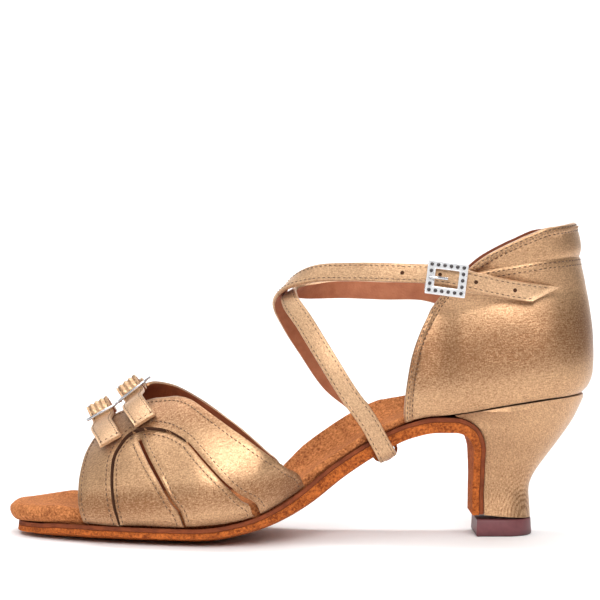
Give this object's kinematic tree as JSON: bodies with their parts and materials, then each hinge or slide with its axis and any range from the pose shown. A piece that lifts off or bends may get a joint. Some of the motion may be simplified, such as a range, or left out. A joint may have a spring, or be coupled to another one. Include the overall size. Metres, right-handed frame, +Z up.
{
  "type": "ballroom dance shoe",
  "caption": "Open-toed satin ballroom dance shoe with a strapped vamp, crossing instep strap with buckle, suede sole and flared heel",
  "frame": {"origin": "on the floor, under the middle of the shoe's bounding box", "axes": "+X towards the heel, +Y towards the inner (medial) side, +Z up; the toe points to -X"},
  "size_m": [0.2392, 0.0872, 0.1277],
  "materials": {
    "suede": "napped orange suede",
    "sole_edge": "dark dyed edge",
    "insole_suede": "soft tan suede",
    "satin": "champagne gold satin",
    "rubber": "smooth burgundy rubber",
    "silver": "polished plate"
  },
  "bodies": {
    "root": {"outsole": "suede", "midsole": "sole_edge", "insole": "insole_suede", "heel_block": "satin", "top_lift": "rubber", "counter": "satin", "vamp_lateral": "satin", "vamp_medial": "satin", "vamp_strap_front": "satin", "vamp_strap_rear": "satin", "vamp_buckle_front": "silver", "vamp_buckle_rear": "silver", "instep_strap": "satin", "ankle_buckle": "silver", "ankle_buckle_prong": "silver", "buckle_tab": "satin"}
  },
  "joints": []
}
